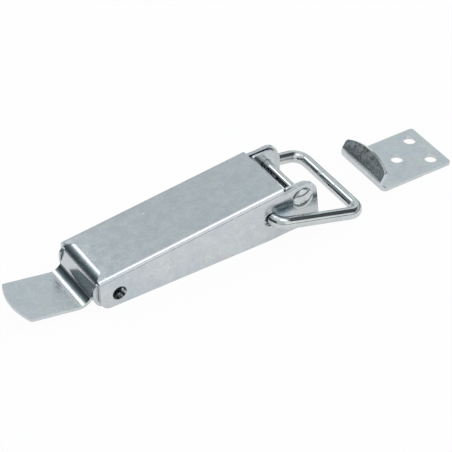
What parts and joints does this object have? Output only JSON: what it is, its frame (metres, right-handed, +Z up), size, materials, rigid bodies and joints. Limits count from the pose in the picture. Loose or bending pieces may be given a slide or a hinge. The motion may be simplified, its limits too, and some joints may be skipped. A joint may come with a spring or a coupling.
{
  "type": "over centre toggle latch",
  "caption": "Over-centre toggle latch: hinged channel lever with finger tab and padlock eye, wire bail, screw-on base and a separate hook keeper plate.",
  "frame": {"origin": "centre of the base's four screw holes, on the base's underside, which is the mounting face", "axes": "+X from the finger tab towards the bail and the keeper, +Y across the latch, +Z up from the mounting face"},
  "size_m": [0.1942, 0.0476, 0.0228],
  "materials": {
    "lever": "bright zinc plate, lightly clouded",
    "base_plate": "bright zinc plate",
    "pivot_rivet": "bright zinc plate, smooth",
    "bail": "bright zinc plate, smooth drawn wire",
    "keeper_plate": "bright zinc plate, lightly clouded"
  },
  "bodies": {
    "base": {"base_plate": "base_plate", "pivot_rivet": "pivot_rivet", "keeper_plate": "keeper_plate"},
    "lever": {"lever": "lever"},
    "bail": {"bail": "bail"}
  },
  "joints": [
    {"name": "lever_hinge", "type": "hinge", "parent": "base", "child": "lever", "pos_m": [0.048, 0, 0.0146], "axis": [0, 1, 0], "range_deg": [0, 110]},
    {"name": "bail_hinge", "type": "hinge", "parent": "lever", "child": "bail", "pos_m": [0.0336, 0, 0.0113], "axis": [0, -1, 0], "range_deg": [0, 170]}
  ]
}
